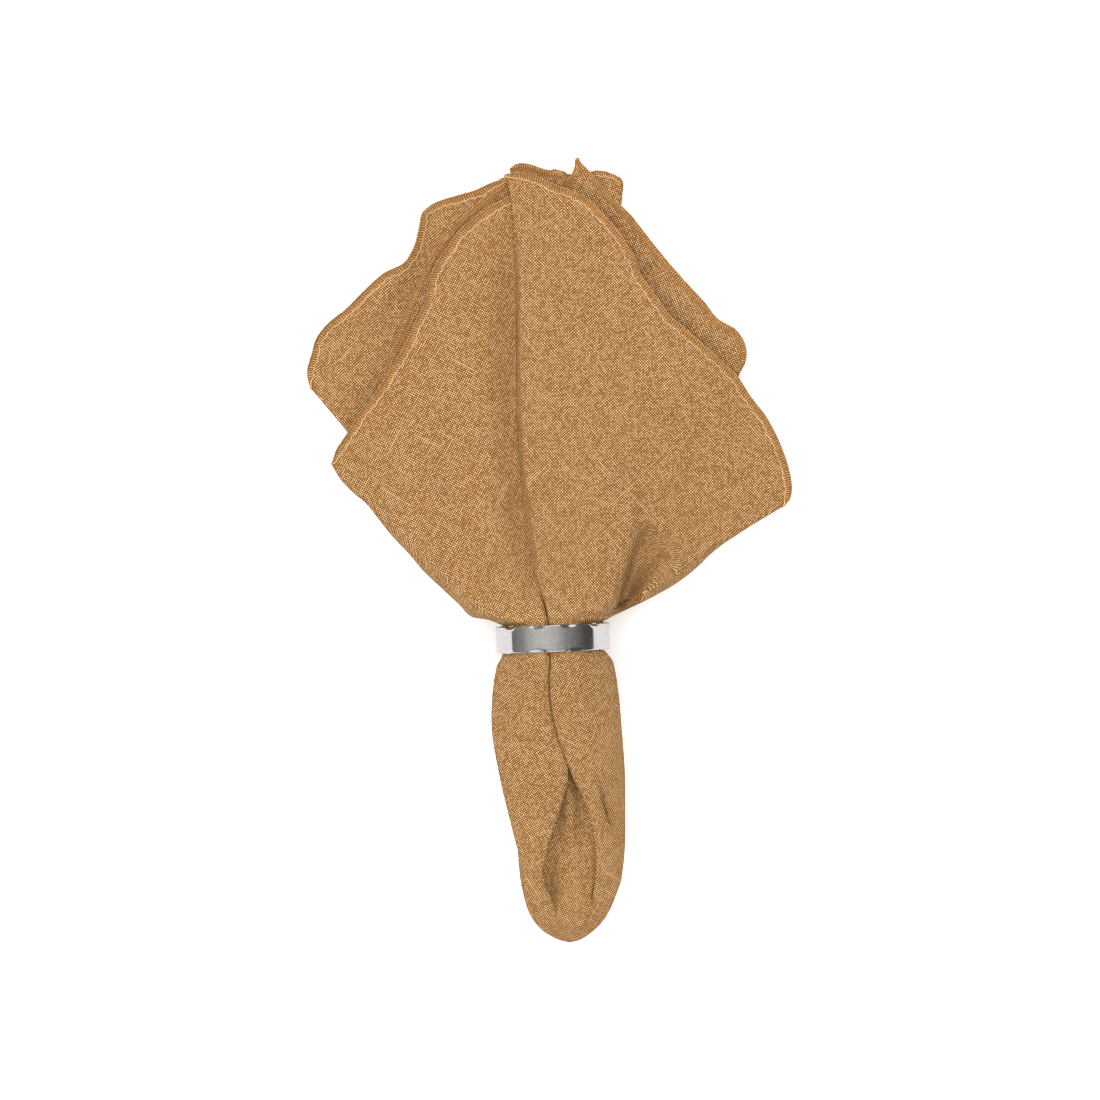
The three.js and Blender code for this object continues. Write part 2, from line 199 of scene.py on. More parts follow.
# Sections of the tail, from its end to the ring. y, x: place. half: half width. high: height. low:
# underside. seam, dip, inner_right: where these folds lie across the section. pocket, pleats: depth
# of the pocket on top and of the other pleats, 0 run out to 1 full.
TAIL_COLUMNS = ("y", "x", "half", "high", "low", "seam", "dip", "inner_right", "pocket", "pleats")
TAIL = np.array([
    (-156.6, 8.2, 0, 0, 2.8, 0.3, 0.1, 0.3, 0, 0),
    (-154.6, 7.8, 5.9, 6, 0, 0.3, 0.1, 0.3, 0, 0),
    (-151.6, 7.4, 10.2, 9, 0, 0.4, 0.05, 0.4, 0, 0),
    (-147, 7.6, 14.2, 12, 0, 0.6, -0.2, 0.6, 0.1, 0),
    (-142, 7.8, 16.7, 14, 0, 0.63, -0.45, 0.7, 0.4, 0),
    (-136, 8.2, 18.6, 16, 0, 0.67, -0.66, 0.78, 0.85, 0),
    (-130, 8.6, 20.1, 18, 0, 0.65, -0.77, 0.8, 1, 0),
    (-118, 7.9, 22.4, 21, 0, 0.62, -0.5, 0.8, 1, 0.35),
    (-104, 6.5, 24.2, 24.5, 0, 0.5, -0.15, 0.76, 1, 0.75),
    (-88, 4.8, 25.9, 28.5, 0, 0.19, 0.12, 0.74, 1, 0.95),
    (-70, 2.8, 26.6, 33, 0, -0.02, -0.05, 0.72, 1, 1),
    (-56, 2.4, 25.7, 37.5, 0, -0.11, -0.14, 0.72, 1, 1),
    (-49, 2.3, 24.6, 40, 0.6, -0.11, -0.14, 0.72, 1, 1),
    (-44, 2.2, 23.2, 41.6, 1.2, -0.09, -0.12, 0.72, 1, 1),
    (-42, 2, 21.6, 41.2, 1.7, -0.09, -0.12, 0.72, 1, 1),
])

# Soft ridges and troughs. layers: those that have it, or all of them, each by the share of its level.
# path: its line. left, right: its widths on either side of it. high: its height, below 0 for a trough.
ALL = tuple(layer["name"] for layer in LAYERS)
CREASES = [
    dict(layers=("right_panel",), high=3.2, left=10, right=8, path=[(10, -27), (16, -8), (21, 20), (24,
        50)]),
    dict(layers=("right_panel",), high=2.6, left=6, right=1.2,
         path=[(23.8, -28.4), (25.8, -23), (28, -15), (29.6, -8.8), (31, -1.2), (33, 12), (35, 28)]),
    dict(layers=ALL, high=-16, left=1.8, right=6.5, path=[(24.6, -28.4), (27, -22), (30, -14), (32.4, -7),
        (36, 2), (41, 13)]),
    dict(layers=ALL, high=-8, left=5, right=3, path=[(26, -26), (32, -17.5), (37, -10), (45, 1), (52, 9)]),
    dict(layers=ALL, high=-6, left=8, right=1.2,
         path=[(-6, -6), (-9, 12), (-11.4, 32), (-13, 57), (-13.6, 110), (-14.6, 141)]),
    dict(layers=("back_left",), high=3.4, left=4, right=13, path=[(-52, 136), (-57, 116), (-66, 101), (-80,
        84)]),
    dict(layers=ALL, high=-2.5, left=9, right=7, path=[(-20, -20), (-33, 10), (-44, 48)]),
    dict(layers=("back_left",), high=1.6, left=5, right=5, path=[(-40, 142), (-40, 118)]),
    dict(layers=("back_right",), high=1.4, left=5, right=5, path=[(66, 92), (52, 74)]),
]
# Creases grow over this distance from the ring's mouth, and fade over this share of their length.
CREASE_FROM = 6.0
CREASE_FADE = 0.25
# The same for the top of the tail: the floor's edge on the right lobe, and the pocket's deepest place.
TAIL_CREASES = [
    dict(layers=ALL, high=1.6, left=0.5, right=6, path=[(17.4, -137), (17, -139.6), (15.4, -144.4), (12.6,
        -149.6), (9.8, -154)]),
    dict(layers=("pleat_d",), high=-5, left=4, right=4, path=[(0, -122), (-0.6, -131), (0.4, -137.5), (3,
        -142)]),
]

FAN_ROWS = 54
TAIL_ROWS = 38
# Distances of the last rows from the outline. The outermost leaves room for the hem's thread.
HEM_ROWS = (3.6, 2, 0.45)
# The least sine of the angle between a column and the hem for which those distances stay square to it.
HEM_SLANT = 0.5
# Columns lie closer where the hem bends: how much closer for a bend of one radian, and how far round it.
CROWD = 5.0
CROWD_REACH = 2.5
CROWD_SAMPLES = 400

# The overlocked hem, in millimetres.
STITCH_PITCH = 1.0
STITCH_REACH = 2.7
STITCH_RADIUS = 0.27
CHAIN_RADIUS = 0.22
# Where a column runs nearly along the hem, the side on which the cloth lies is that of the last column
# whose direction is this far from it, as a sine.
CLEARLY_INSIDE = 0.35
# Stitches are shorter where the hem turns sharply over this many columns to either side.
TURN_SPAN = 5
# Share of the reach in from the edge, height over the sheet's middle, and lean along the hem.
STITCH_PATH = [(1, 0.3, 0.3), (0.7, 0.55, 0.2), (0.3, 0.52, 0.05), (-0.04, 0.1, 0), (0.3, -0.42, -0.1),
    (0.8, -0.36, -0.3)]

# Distance between the threads of the weave, in millimetres.
# The real ones are finer. They are drawn coarser, because a pixel is 0.4 mm.
THREAD_PITCH = 0.78
# A unit of the map of the weave is UV_UNIT millimetres.
UV_UNIT = 100
THREADS_PER_UNIT = UV_UNIT / THREAD_PITCH
# How far threads wander, in threads.
THREAD_DRIFT = 1.2
# The shortest step along a row, and how many times longer a steep one may be, less 1.
LEAST_STEP = 0.02
STEEPEST = 5.0
# How much whole threads, and single crossings, differ in tone.
THREAD_CONTRAST = 0.6
SINGLE_CROSSING = 0.7
# Noise values from which a thread is pale, for the weft and the warp.
PALE_FROM = ((0.74, 0.9), (0.69, 0.86))

# Light and dark turns of the sewing thread, buffing grains and patches of the steel, and patches of the
# table, to a millimetre. Real grains are finer: these are as coarse as they need to be to show.
YARN_TURNS_PER_MM = 0.7
STEEL_GRAINS_PER_MM = 1.3
STEEL_PATCHES_PER_MM = 0.22
TABLE_PATCHES_PER_MM = 0.04
# The glow of the lit table, and the floor's half width and height, in millimetres.
TABLE_GLOW = 0.25
FLOOR_HALF = 2500.0
FLOOR_Z = -0.15

# Softboxes: name, place in millimetres, size in metres, power in watts.
LIGHTS = [
    ("softbox_above", (0, 100, 1900), 2.2, 25.0),
    ("softbox_left", (-1500, 200, 1100), 1.4, 9.5),
    ("softbox_right", (1500, 100, 1100), 1.4, 8.0),
    ("softbox_front", (0, -1500, 1100), 1.4, 8.0),
    ("softbox_back", (0, 1500, 1100), 1.4, 8.0),
]
SEEN_IN_THE_RING = ("softbox_front", "softbox_back")
# The grey room: its shades from the horizon to the brightest part of the ceiling, and where that lies.
SKY = [(0.05, "#646464"), (0.7, "#b4b4b4"), (1.0, "#ffffff")]
SKY_BRIGHT_TOWARDS = (-0.33, 0.1, 0.94)
PIXEL_FILTER = 1.1


def smooth_step(t):
    """Rises from 0 at 0 to 1 at 1, level at both ends."""
    t = np.clip(t, 0, 1)
    return t * t * (3 - 2 * t)


def smooth_through(knots, values, at):
    """A cubic through the values at the knots, with its slope at each knot taken from the neighbours."""
    knots = np.asarray(knots, float)
    values = np.asarray(values, float)
    slope = np.gradient(values, knots)
    at = np.clip(at, knots[0], knots[-1])
    k = np.clip(np.searchsorted(knots, at, side="right") - 1, 0, len(knots) - 2)
    width = knots[k + 1] - knots[k]
    t = (at - knots[k]) / width
    start = (1 + 2 * t) * (1 - t) ** 2 * values[k] + t * (1 - t) ** 2 * width * slope[k]
    end = t * t * (3 - 2 * t) * values[k + 1] - t * t * (1 - t) * width * slope[k + 1]
    return start + end


def mix(a, b, t):
    """From a at 0 to b at 1, in a straight line."""
    return a + (b - a) * t


def ring_round(a, b):
    """How far across the ring the round of a fold reaches, from the two levels that it joins."""
    return min(ROUND_PER_LEVEL * abs(a - b), ROUND_MOST)


def layer_columns(number):
    """The columns of one layer, from its first fold along the hem to its last.

    A fold's round is a quarter of an ellipse on either side of it: turn is 1 - cos and rise is sin of
    the same angle, so turn goes from 0 on the fold to 1 where the layer is flat, and rise takes the
    level from the fold's middle height to the layer's own. Between the rounds the columns lie along a
    cubic through the hem's points, closer together where it bends. The points are as the camera sees
    them, so each is set back towards the middle by its height over the camera's.
    """
    layer = LAYERS[number]
    before = LAYERS[number - 1]
    after = LAYERS[(number + 1) % len(LAYERS)]
    last_fold = (number + 1) % len(FOLDS)
    first = FOLDS[FOLD_NAMES[number]]
    last = FOLDS[FOLD_NAMES[last_fold]]
    line = np.array([(first["x"], first["y"], layer["start"]), *layer["hem"],
        (last["x"], last["y"], layer["end"])])
    line[:, :2] *= 1 - line[:, 2:] * FAN_STEP / CAMERA_HIGH
    steps_along = np.diff(line[:, :2], axis=0)
    along = np.concatenate([[0], np.cumsum(np.hypot(*steps_along.T))])
    bend = np.abs(np.diff(np.unwrap(np.arctan2(steps_along[:, 1], steps_along[:, 0]))))

    angle = np.linspace(0, math.pi / 2, ROUND_STEPS + 1)
    turn = 1 - np.cos(angle)
    rise = np.sin(angle)
    reach_first = max(abs(layer["start"] - before["end"]) * FAN_STEP / 2, LEAST_INSET)
    reach_last = max(abs(layer["end"] - after["start"]) * FAN_STEP / 2, LEAST_INSET)
    inner = (np.arange(layer["cells"]) + 0.5) / layer["cells"]
    fine = np.linspace(reach_first, along[-1] - reach_last, CROWD_SAMPLES)
    near = np.exp(-(((fine - along[1:-1, None]) / CROWD_REACH) ** 2)) * bend[:, None]
    crowd = np.cumsum(1 + CROWD * near.sum(axis=0))
    place = np.concatenate([
        reach_first * turn,
        np.interp(mix(crowd[0], crowd[-1], inner), crowd, fine),
        (along[-1] - reach_last * turn[:0:-1]),
    ])
    hem = np.stack([smooth_through(along, line[:, k], place) for k in range(3)], axis=1)
    steps = ROUND_STEPS + 1
    hem[:steps, 2] = mix((layer["start"] + before["end"]) / 2, hem[:steps, 2], rise)
    hem[-ROUND_STEPS:, 2] = mix((layer["end"] + after["start"]) / 2, hem[-ROUND_STEPS:, 2], rise[:0:-1])
    ring = np.full(len(place), float(layer["ring"]))
    shares = np.concatenate([np.zeros(steps), inner, np.ones(ROUND_STEPS)])
    sinks = np.clip(1 - (1 - shares) / SINK_SHARE, 0, 1)
    ring += (layer.get("sinks_to", layer["ring"]) - layer["ring"]) * sinks**2
    before_ring = before.get("sinks_to", before["ring"])
    last_ring = layer.get("sinks_to", layer["ring"])
    ring[:steps] = mix(first.get("level", (layer["ring"] + before_ring) / 2), layer["ring"], rise)
    ring[-ROUND_STEPS:] = mix(last.get("level", (last_ring + after["ring"]) / 2), last_ring, rise[:0:-1])
    ring += layer.get("bulge", 0) * 4 * shares * (1 - shares)
    count = len(place)
    return dict(
        x=hem[:, 0], y=hem[:, 1], level=hem[:, 2], ring=ring,
        share=shares,
        turn_first=np.concatenate([turn, np.ones(count - steps)]),
        turn_last=np.concatenate([np.ones(count - ROUND_STEPS), turn[:0:-1]]),
        way=np.arange(count) / count,
        first=np.full(count, number), last=np.full(count, last_fold), layer=np.full(count, number),
        round_first=np.full(count, layer.get("curl", ring_round(layer["ring"], before_ring))),
        round_last=np.full(count, ring_round(last_ring, after["ring"])),
    )


def all_columns():
    """The columns of all the layers, once round the cloth."""
    parts = [layer_columns(number) for number in range(len(LAYERS))]
    return {key: np.concatenate([part[key] for part in parts]) for key in parts[0]}


COLUMNS = all_columns()


def place_across(section):
    """Place across a section, -1 to 1, of each column: between its two folds, clear of their rounds."""
    rows = len(section["y"])
    folds = np.array([section.get(name, np.full(rows, FOLDS[name]["across"])) for name in FOLD_NAMES])
    a = folds[COLUMNS["first"]].T
    b = folds[COLUMNS["last"]].T
    reach_a = COLUMNS["round_first"]
    reach_b = COLUMNS["round_last"]
    fit = np.minimum(1, ROUND_ROOM * np.abs(b - a) / (reach_a + reach_b)) * np.sign(b - a)
    low = a + fit * reach_a * COLUMNS["turn_first"]
    high = b - fit * reach_b * COLUMNS["turn_last"]
    return np.where(COLUMNS["share"] == 0, low,
        np.where(COLUMNS["share"] == 1, high, mix(low, high, COLUMNS["share"])))


def section_points(section):
    """Points of the sections, a row for each.

    Where the pleats are full, the square of places across and levels is bent into an ellipse: each
    coordinate is multiplied by the root of 1 less half the other's square. Where they have run out,
    the cloth goes round the ellipse once. Inside, the layers are gathered in waves that all share.
    """
    col = {key: value[:, None] for key, value in section.items()}
    across = place_across(section)
    up = 2 * COLUMNS["ring"] / TOP_LEVEL - 1
    belly = np.where(up < 0, col["belly"], 1)
    droop = 1 - belly * (1 - np.sqrt(1 - across**2 / 2))
    inside = np.sin(math.pi * COLUMNS["ring"] / TOP_LEVEL) ** 2 * (1 - across**2)
    wave = np.sin(2 * math.pi * (GATHERS * across + GATHER_START)) * inside * GATHER_HIGH * col["pleats"]
    start = np.array([FOLDS[name]["round"] for name in FOLD_NAMES], float)
    pocket = np.array([FOLDS[name]["pocket"] for name in FOLD_NAMES])
    turn_to = np.where(start[COLUMNS["last"]] > start[COLUMNS["first"]], start[COLUMNS["last"]] - 360,
        start[COLUMNS["last"]])
    angle = np.radians(mix(start[COLUMNS["first"]], turn_to, COLUMNS["way"]))
    depth = mix(
        np.where(pocket[COLUMNS["first"]], col["pocket"], col["pleats"]),
        np.where(pocket[COLUMNS["last"]], col["pocket"], col["pleats"]),
        COLUMNS["way"],
    )
    plain_up = np.sign(np.sin(angle)) * np.abs(np.sin(angle)) ** TAIL_SQUARE
    x = col["x"] + col["half"] * mix(np.cos(angle), across * np.sqrt(1 - up**2 / 2), depth)
    z = col["middle"] + col["high"] / 2 * mix(plain_up, up * droop, depth) + wave * depth
    return np.stack([x, col["y"] + 0 * x, z], axis=2)


def turned(points, y):
    """Turns the rows near the ring with it, less and less away from it."""
    near = 1 - smooth_step((np.abs(y - RING_Y) - TURNED_WHOLE) / TURNED_FADE)
    shift = (points[:, :, 0] - RING_X) * math.tan(RING_TURN) * near[:, None]
    return points + np.stack([0 * shift, shift, 0 * shift], axis=2)


def ring_section(y):
    """Sections inside the ring: a circle smaller than the bore by a gap and half the sheet."""
    radius = RING_RADIUS - RING_WALL - BORE_GAP - SHEET / 2
    one = np.ones(len(y))
    return dict(y=y, x=RING_X * one, half=radius * one, high=2 * radius * one, middle=RING_RADIUS * one,
                pocket=one, pleats=one, belly=one)


def tail_rows():
    """Rows of the tail: even in the root of the distance from its tip, as its end is round, and passing
    into even steps towards the ring."""
    knots = np.sqrt(TAIL[:, 0] - TAIL[0, 0])
    root = np.linspace(0, knots[-1], TAIL_ROWS + 1)[1:]
    even = np.sqrt(np.linspace(0, knots[-1] ** 2, TAIL_ROWS + 1)[1:])
    root = mix(root, even, np.linspace(0, 1, TAIL_ROWS))
    section = {name: smooth_through(knots, TAIL[:, k], root) for k, name in enumerate(TAIL_COLUMNS)}
    section["middle"] = section["low"] + SHEET / 2 + np.maximum(section["high"] - SHEET, 0) / 2
    section["high"] = np.maximum(section["high"] - SHEET, 0)
    section["belly"] = mix(TAIL_BELLY, 1, smooth_step((section["y"] - BELLY_FROM) / BELLY_OVER))
    points = section_points(section)
    x, y, z = np.moveaxis(points, 2, 0)
    half_high = np.maximum(section["high"], 1)[:, None] / 2
    on_top = smooth_step((z - section["middle"][:, None]) / half_high * 2)
    points[:, :, 2] += crease_height(x, y, TAIL_CREASES, 1) * on_top
    return turned(points, section["y"])


def beside(x, y, path):
    """Distance of points from a path, above 0 on its left, and their share of the way along it."""
    path = np.asarray(path, float)
    lengths = np.hypot(*np.diff(path, axis=0).T)
    best = np.full(x.shape, np.inf)
    signed = np.zeros(x.shape)
    share = np.zeros(x.shape)
    for k, length in enumerate(lengths):
        dx, dy = (path[k + 1] - path[k]) / length
        along = np.clip((x - path[k, 0]) * dx + (y - path[k, 1]) * dy, 0, length)
        off_x = x - path[k, 0] - along * dx
        off_y = y - path[k, 1] - along * dy
        away = np.hypot(off_x, off_y)
        nearer = away < best
        best = np.where(nearer, away, best)
        signed = np.where(nearer, np.where(dx * off_y - dy * off_x > 0, away, -away), signed)
        share = np.where(nearer, (lengths[:k].sum() + along) / lengths.sum(), share)
    return signed, share


def crease_height(x, y, creases, level_share):
    """Sum of the creases: each is a bell across its line, with a width on either side, fading at its end."""
    total = np.zeros(x.shape)
    for crease in creases:
        names = [LAYERS[k]["name"] for k in COLUMNS["layer"]]
        mine = np.array([name in crease["layers"] for name in names])
        away, share = beside(x, y, crease["path"])
        width = np.where(away > 0, crease["left"], crease["right"])
        fade = smooth_step((1 - share) / CREASE_FADE)
        share_of_it = level_share if crease["layers"] is ALL else 1
        total += np.where(mine, crease["high"] * share_of_it * np.exp(-((away / width) ** 2)) * fade, 0)
    return total


def fan_rows(mouth):
    """Rows of the fan, each column on its way from the ring's mouth to its hem point.

    A column is a straight line moved aside by the bows of its two folds, each by its share. Its height
    falls from the mouth's to the fan's by (1 + d/c) exp(-d/c) of its distance d from the mouth.
    """
    dx = COLUMNS["x"] - mouth[:, 0]
    dy = COLUMNS["y"] - mouth[:, 1]
    length = np.hypot(dx, dy)
    spread = np.linspace(0, 1, FAN_ROWS + 1)[1:] ** SPREAD_POWER
    run_x, run_y = (np.roll(COLUMNS[k], -1) - np.roll(COLUMNS[k], 1) for k in ("x", "y"))
    slant = np.abs(dx * run_y - dy * run_x) / np.maximum(length * np.hypot(run_x, run_y), 1e-6)
    room = length * np.maximum(slant, HEM_SLANT)
    share = np.concatenate([
        spread[:, None] * (1 - HEM_ROWS[0] / room),
        *[(1 - inset / room)[None] for inset in HEM_ROWS[1:]],
    ])
    bows = np.array([smooth_through(*np.array(FOLDS[name]["bow"]).T, share) for name in FOLD_NAMES])
    rows = np.arange(share.shape[0])[:, None]
    each = np.arange(share.shape[1])[None]
    bow = mix(bows[COLUMNS["first"], rows, each], bows[COLUMNS["last"], rows, each], COLUMNS["share"])
    x = mouth[:, 0] + dx * share - dy / length * bow
    y = mouth[:, 1] + dy * share + dx / length * bow
    beyond = np.maximum(np.abs(x - RING_X) - abs(mouth[:, 0] - RING_X).max(), 0)
    away = np.hypot(beyond, y - mouth[:, 1])
    settled = smooth_step(away / LEVEL_SETTLE)
    level = mix(COLUMNS["ring"], COLUMNS["level"], settled)
    held = (1 + away / SETTLE) * np.exp(-away / SETTLE)
    loose = level / TOP_LEVEL
    uneven = sum(high * np.sin(x / long_x + y / long_y + start) for high, long_x, long_y, start in UNEVEN)
    flutter = 0.5 * np.sin(COLUMNS["x"] / 3.4 + COLUMNS["y"] / 4.1) * share**12
    hidden = np.array([LAYERS[k]["name"].startswith("pleat") for k in COLUMNS["layer"]])
    rumple = np.sin(x * 0.42 + y * 0.16) * smooth_step(share * 4) * (1 - share**8)
    rumple *= np.where(hidden, RUMPLE, 0)
    flat = SHEET / 2 + level * FAN_STEP + (uneven * settled + flutter) * loose + rumple
    z = mix(flat, mouth[:, 2], held) + crease_height(x, y, CREASES, loose) * smooth_step(away / CREASE_FROM)
    return np.stack([x, y, np.maximum(z, SHEET / 2)], axis=2)


def cloth_rows():
    """The middle of the sheet, rows from the tail's end to the hem, each once round the cloth, and the
    number of the row at the ring's mouth."""
    tail = tail_rows()
    reach = RING_LENGTH / 2 + RIM_CLEAR
    ring_y = np.linspace(RING_Y - RING_LENGTH / 2, RING_Y + reach, RING_ROWS)
    ring = turned(section_points(ring_section(ring_y)), ring_y)
    return np.concatenate([tail, ring, fan_rows(ring[-1])]), len(tail) + len(ring) - 1


def unit(vectors):
    """The same directions with length 1."""
    return vectors / np.maximum(np.linalg.norm(vectors, axis=-1, keepdims=True), 1e-9)


def normals_of(rows):
    """Directions square to the sheet: the cross product of its steps round and along."""
    around = np.roll(rows, -1, axis=1) - np.roll(rows, 1, axis=1)
    return unit(np.cross(around, np.gradient(rows, axis=0)))


def mesh_object(name, points, faces, material, smooth=True):
    """A mesh from points in millimetres and faces, which are all of one size or a list of lists."""
    mesh = bpy.data.meshes.new(name)
    mesh.from_pydata(np.asarray(points) * MM, [], faces if isinstance(faces, list) else faces.tolist())
    mesh.update()
    mesh.polygons.foreach_set("use_smooth", np.full(len(mesh.polygons), smooth))
    mesh.materials.append(material)
    made = bpy.data.objects.new(name, mesh)
    bpy.context.scene.collection.objects.link(made)
    return made


def add_values(piece, name, values):
    """Keeps a number for each point of a mesh, which its material reads by name."""
    attribute = piece.data.attributes.new(name, "FLOAT", "POINT")
    attribute.data.foreach_set("value", np.asarray(values, np.float32))


def weave_places(rows, mouth_row):
    """Places in the weave of every corner, in millimetres: one map for each layer.

    In the fan a place is the plan's, with what a steep row spares added from the layer's middle on, and
    turned to the layer's warp. In the tail it is the length across the section from the layer's middle
    and the rows' mean length along, turned to the warp there. One passes into the other inside the ring.
    """
    count = rows.shape[1]
    steps = np.linalg.norm(np.diff(rows[:mouth_row + 1], axis=0), axis=2).mean(axis=1)
    behind = np.concatenate([[0], np.cumsum(steps)])
    behind = np.concatenate([behind - behind[-1], np.zeros(len(rows) - mouth_row - 1)])
    inside = smooth_step((rows[:, 0, 1] - RING_Y) / RING_LENGTH + 0.5)
    places = []
    for number, layer in enumerate(LAYERS):
        mine = np.where(COLUMNS["layer"] == number)[0]
        these = np.concatenate([mine, [(mine[-1] + 1) % count]])
        block = rows[:, these]
        across = np.diff(block, axis=1)
        lengths = np.sign(across[:, :, 0]) * np.hypot(across[:, :, 0], across[:, :, 2])
        round_it = np.concatenate([np.zeros((len(rows), 1)), np.cumsum(lengths, axis=1)], axis=1)
        middle = len(these) // 2
        round_it += block[:, middle:middle + 1, 0] - round_it[:, middle:middle + 1]
        plan = np.maximum(np.hypot(across[:, :, 0], across[:, :, 1]), LEAST_STEP)
        longer = np.minimum(np.linalg.norm(across, axis=2) / plan - 1, STEEPEST)
        steep = longer[:, :, None] * across[:, :, :2]
        spare = np.concatenate([np.zeros((len(rows), 1, 2)), np.cumsum(steep, axis=1)], axis=1)
        spare -= spare[:, middle:middle + 1]
        u = mix(round_it, block[:, :, 0] + spare[:, :, 0], inside[:, None])
        start = block[mouth_row, :, 1]
        in_plan = np.arange(len(rows))[:, None] > mouth_row
        v = np.where(in_plan, block[:, :, 1], start + behind[:, None]) + spare[:, :, 1] * inside[:, None]
        in_fan, in_tail = layer["weave"]
        turn = np.radians(mix(in_tail, in_fan, inside))[:, None]
        places.append(np.stack([u * np.cos(turn) + v * np.sin(turn), v * np.cos(turn) - u * np.sin(turn)],
            axis=2))
    return places


def make_napkin(material):
    """The cloth as one closed shell: two skins half the sheet off its middle, joined along the hem."""
    rows, mouth_row = cloth_rows()
    height, count = rows.shape[:2]
    normal = normals_of(rows)
    tip = np.array([TAIL[0, 1], TAIL[0, 0], TAIL[0, 4]])
    points, faces = [], []
    index = np.arange(height * count).reshape(height, count)
    here, right = index, np.roll(index, -1, axis=1)
    quads = np.stack([here[:-1], right[:-1], right[1:], here[1:]], axis=-1).reshape(-1, 4)
    per_skin = height * count + 1
    for side in (1, -1):
        skin = rows + normal * side * SHEET / 2
        skin[:, :, 2] = np.maximum(skin[:, :, 2], 0)
        points.append(np.concatenate([skin.reshape(-1, 3), [tip - [0, side * SHEET / 2, 0]]]))
    outer = quads
    inner = quads[:, ::-1] + per_skin
    rim = np.stack([here[-1], right[-1], right[-1] + per_skin, here[-1] + per_skin], axis=-1)
    cap_out = np.stack([np.full(count, per_skin - 1), right[0], here[0]], axis=-1)
    cap_in = np.stack([np.full(count, 2 * per_skin - 1), here[0] + per_skin, right[0] + per_skin], axis=-1)
    faces = outer.tolist() + inner.tolist() + rim.tolist() + cap_out.tolist() + cap_in.tolist()
    napkin = mesh_object("linen_napkin", np.concatenate(points), faces, material)

    places = weave_places(rows, mouth_row)
    corner = np.zeros((height - 1, count, 4, 2))
    for number, place in enumerate(places):
        mine = np.where(COLUMNS["layer"] == number)[0]
        corner[:, mine] = np.stack([place[:-1, :-1], place[:-1, 1:], place[1:, 1:], place[1:, :-1]], axis=2)
    flat = corner.reshape(-1, 4, 2)
    rim_places = corner[-1][:, [3, 2, 2, 3]]
    caps = corner[0][:, [0, 1, 0]]
    uv = np.concatenate([flat.reshape(-1, 2), flat[:, ::-1].reshape(-1, 2), rim_places.reshape(-1, 2),
                         caps.reshape(-1, 2), caps.reshape(-1, 2)])
    layer = napkin.data.uv_layers.new(name="weave")
    layer.data.foreach_set("uv", (uv / UV_UNIT).astype(np.float32).ravel())
    # Mask for the painted shade under the hem's stitches: 0 on the hem's rows, 1 elsewhere.
    clear = np.zeros((height, count))
    clear[:-len(HEM_ROWS) + 1] = 1
    clear = np.concatenate([clear.ravel(), [1]])
    add_values(napkin, "clear_of_hem", np.concatenate([clear, clear]))
    return napkin, rows, normal


def tubes(paths, radius, sides, closed=False):
    """Tubes of a given radius along many paths at once, an array of paths, points and coordinates.

    Round each point the section is radius times the cosine and sine of even angles, along two
    directions square to the path.
    """
    around = np.roll(paths, -1, axis=1) - np.roll(paths, 1, axis=1)
    ahead = unit(around if closed else np.gradient(paths, axis=1))
    up = np.where(np.abs(ahead[..., 2:]) > 0.8, [[[1.0, 0, 0]]], [[[0, 0, 1.0]]])
    side = unit(np.cross(ahead, up))
    up = np.cross(side, ahead)
    angle = np.arange(sides) * 2 * math.pi / sides
    ring = side[:, :, None] * np.cos(angle)[:, None] + up[:, :, None] * np.sin(angle)[:, None]
    points = paths[:, :, None] + ring * radius
    many, steps = paths.shape[:2]
    index = np.arange(many * steps * sides).reshape(many, steps, sides)
    turn = np.roll(index, -1, axis=2)
    if closed:
        ahead_index, ahead_turn = np.roll(index, -1, axis=1), np.roll(turn, -1, axis=1)
        quads = np.stack([index, ahead_index, ahead_turn, turn], axis=-1)
    else:
        quads = np.stack([index[:, :-1], index[:, 1:], turn[:, 1:], turn[:, :-1]], axis=-1)
    faces = quads.reshape(-1, 4).tolist()
    if not closed:
        faces += index[:, 0].tolist() + index[:, -1, ::-1].tolist()
    return points.reshape(-1, 3), faces


